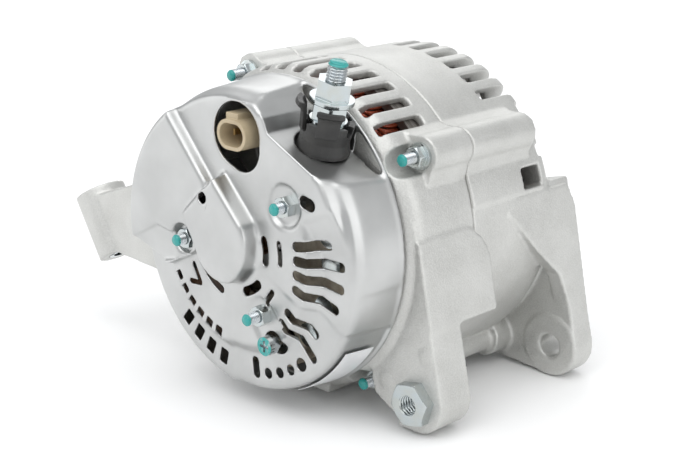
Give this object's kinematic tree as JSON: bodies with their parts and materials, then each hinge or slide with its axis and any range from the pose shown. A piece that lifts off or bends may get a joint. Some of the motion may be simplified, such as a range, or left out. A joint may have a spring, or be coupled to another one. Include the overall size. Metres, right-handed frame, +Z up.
{
  "type": "car alternator",
  "caption": "Belt-driven car alternator: finned cast housings, pressed-metal rear cover, ribbed belt pulley, pivot lugs, long adjusting arm and an insulated output stud.",
  "frame": {"origin": "on the shaft axis, at the middle plane of the pulley's belt grooves", "axes": "+Y along the shaft from the rear cover to the pulley, +Z up in the drawn position, +X to the right seen from the cover"},
  "size_m": [0.2348, 0.177, 0.1531],
  "materials": {
    "cast_aluminium": "fine sand-cast texture, matt light grey",
    "cover_sheet_metal": "drawn bright sheet, satin gloss",
    "plated_steel": "bright zinc plated",
    "dark_plastic": "moulded, satin",
    "beige_plastic": "moulded, satin",
    "brass": "stamped",
    "bearing_steel": "ground and polished",
    "pulley_steel": "turned and plated",
    "pole_steel": "forged, dark",
    "fan_steel": "pressed sheet",
    "lamination_steel": "stacked laminations, varnished",
    "enamelled_copper": "red-brown enamelled wire, varnished",
    "copper": "turned copper ring",
    "carbon": "pressed carbon, matt",
    "spring_steel": "drawn wire",
    "heat_sink": "stamped plate",
    "brown_plastic": "moulded",
    "label_film": "plain film"
  },
  "bodies": {
    "frame": {"rear_housing": "cast_aluminium", "drive_end_housing": "cast_aluminium", "rear_cover": "cover_sheet_metal", "through_studs": "plated_steel", "through_stud_nuts": "plated_steel", "cover_studs": "plated_steel", "cover_nuts": "plated_steel", "terminal_screw": "plated_steel", "output_stud": "plated_steel", "output_insulator": "dark_plastic", "output_washer": "plated_steel", "output_lower_nut": "plated_steel", "output_flange_nut": "plated_steel", "pivot_insert": "plated_steel", "ear_bush": "plated_steel", "field_connector": "beige_plastic", "connector_terminals": "brass", "rear_bearing_outer_race": "bearing_steel", "front_bearing_outer_race": "bearing_steel", "bearing_retainer": "plated_steel", "retainer_screws": "plated_steel", "stator_core": "lamination_steel", "stator_winding": "enamelled_copper", "brush_holder": "dark_plastic", "rear_brush_spring": "spring_steel", "front_brush_spring": "spring_steel", "positive_heat_sink": "heat_sink", "negative_heat_sink": "heat_sink", "positive_diodes": "plated_steel", "negative_diodes": "plated_steel", "rectifier_terminal_block": "brown_plastic", "cover_label": "label_film"},
    "rotor": {"rotor_shaft": "bearing_steel", "rear_claw_pole": "pole_steel", "front_claw_pole": "pole_steel", "coil_bobbin": "brown_plastic", "field_coil": "enamelled_copper", "rear_fan": "fan_steel", "front_fan": "fan_steel", "slip_ring_sleeve": "dark_plastic", "rear_slip_ring": "copper", "front_slip_ring": "copper", "pulley": "pulley_steel", "pulley_nut": "plated_steel", "pulley_spacer": "plated_steel", "rear_bearing_inner_race": "bearing_steel", "front_bearing_inner_race": "bearing_steel"},
    "rear_balls": {"rear_bearing_balls": "bearing_steel", "rear_bearing_cage": "brass"},
    "front_balls": {"front_bearing_balls": "bearing_steel", "front_bearing_cage": "brass"},
    "rear_brush_body": {"rear_brush": "carbon"},
    "front_brush_body": {"front_brush": "carbon"}
  },
  "joints": [
    {"name": "rotor_spin", "type": "hinge", "parent": "frame", "child": "rotor", "pos_m": [0, 0, 0], "axis": [0, 1, 0], "continuous": true},
    {"name": "rear_balls_orbit", "type": "hinge", "parent": "frame", "child": "rear_balls", "pos_m": [0, -0.115, 0], "axis": [0, 1, 0], "continuous": true},
    {"name": "front_balls_orbit", "type": "hinge", "parent": "frame", "child": "front_balls", "pos_m": [0, -0.029, 0], "axis": [0, 1, 0], "continuous": true},
    {"name": "rear_brush_slide", "type": "slide", "parent": "frame", "child": "rear_brush_body", "axis": [-0.7193, 0, 0.6947], "range_m": [0, 0.005], "stiffness_N_per_m": 100, "springref_m": -0.03, "deforming": ["rear_brush_spring"]},
    {"name": "front_brush_slide", "type": "slide", "parent": "frame", "child": "front_brush_body", "axis": [-0.7193, 0, 0.6947], "range_m": [0, 0.005], "stiffness_N_per_m": 100, "springref_m": -0.03, "deforming": ["front_brush_spring"]}
  ],
  "couplings": [
    {"joint": "rear_balls_orbit", "follows": "rotor_spin", "ratio": 0.36364},
    {"joint": "front_balls_orbit", "follows": "rotor_spin", "ratio": 0.36875}
  ]
}
